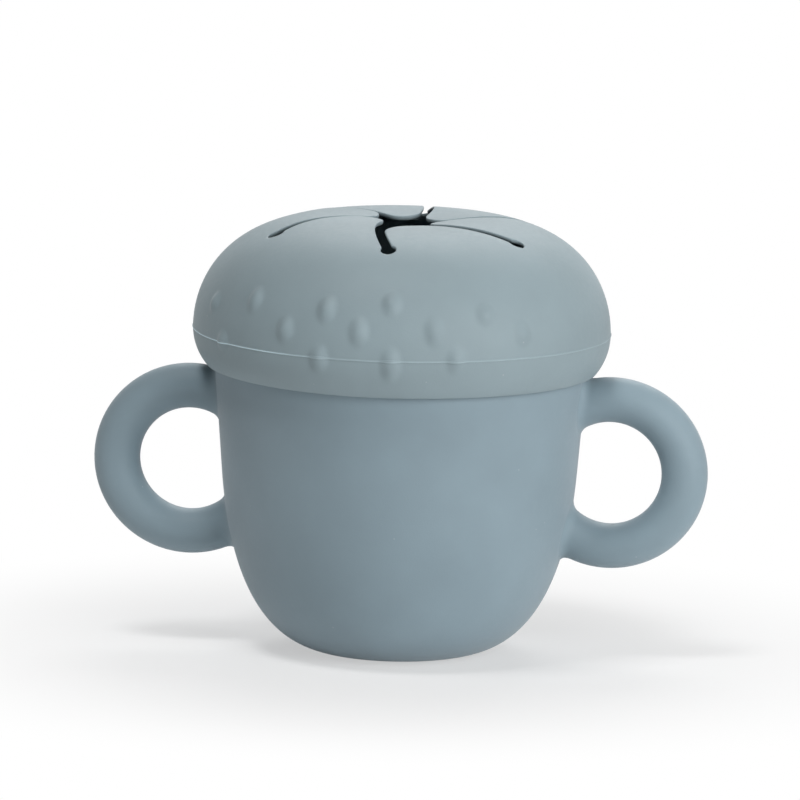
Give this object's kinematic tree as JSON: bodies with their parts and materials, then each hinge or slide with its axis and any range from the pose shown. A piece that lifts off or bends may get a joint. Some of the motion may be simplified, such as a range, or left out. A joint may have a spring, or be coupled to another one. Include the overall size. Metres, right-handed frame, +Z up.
{
  "type": "toddler snack container",
  "caption": "Round silicone snack cup with two ring handles and a press-on domed lid whose curved soft petals let a small hand reach in.",
  "frame": {"origin": "middle of the flat base, on the surface that the cup stands on", "axes": "+Z up through the lid, the two handles along +X and -X, +Y away from the viewer"},
  "size_m": [0.1396, 0.0958, 0.0985],
  "materials": {
    "cup_silicone": "matte dusty blue silicone",
    "lid_silicone": "matte dusty blue silicone"
  },
  "bodies": {
    "cup": {"cup_body": "cup_silicone", "left_handle": "cup_silicone", "right_handle": "cup_silicone"},
    "lid": {"lid_dome": "lid_silicone", "plug_ring": "lid_silicone", "lid_dots": "lid_silicone"},
    "petal_1": {"petal_1": "lid_silicone"},
    "petal_2": {"petal_2": "lid_silicone"},
    "petal_3": {"petal_3": "lid_silicone"},
    "petal_4": {"petal_4": "lid_silicone"},
    "petal_5": {"petal_5": "lid_silicone"},
    "petal_6": {"petal_6": "lid_silicone"}
  },
  "joints": [
    {"name": "lid_lift", "type": "slide", "parent": "cup", "child": "lid", "axis": [0, 0, 1], "range_m": [0, 0.06]},
    {"name": "petal_1_flex", "type": "hinge", "parent": "lid", "child": "petal_1", "pos_m": [0.02745, 0, 0.09586], "axis": [0, -1, 0], "range_deg": [-60, 70], "stiffness_Nm_per_rad": 0.006},
    {"name": "petal_2_flex", "type": "hinge", "parent": "lid", "child": "petal_2", "pos_m": [0.01373, 0.02378, 0.09586], "axis": [0.866, -0.5, 0], "range_deg": [-60, 70], "stiffness_Nm_per_rad": 0.006},
    {"name": "petal_3_flex", "type": "hinge", "parent": "lid", "child": "petal_3", "pos_m": [-0.01373, 0.02378, 0.09586], "axis": [0.866, 0.5, 0], "range_deg": [-60, 70], "stiffness_Nm_per_rad": 0.006},
    {"name": "petal_4_flex", "type": "hinge", "parent": "lid", "child": "petal_4", "pos_m": [-0.02745, 0, 0.09586], "axis": [0, 1, 0], "range_deg": [-60, 70], "stiffness_Nm_per_rad": 0.006},
    {"name": "petal_5_flex", "type": "hinge", "parent": "lid", "child": "petal_5", "pos_m": [-0.01373, -0.02378, 0.09586], "axis": [-0.866, 0.5, 0], "range_deg": [-60, 70], "stiffness_Nm_per_rad": 0.006},
    {"name": "petal_6_flex", "type": "hinge", "parent": "lid", "child": "petal_6", "pos_m": [0.01373, -0.02378, 0.09586], "axis": [-0.866, -0.5, 0], "range_deg": [-60, 70], "stiffness_Nm_per_rad": 0.006}
  ]
}
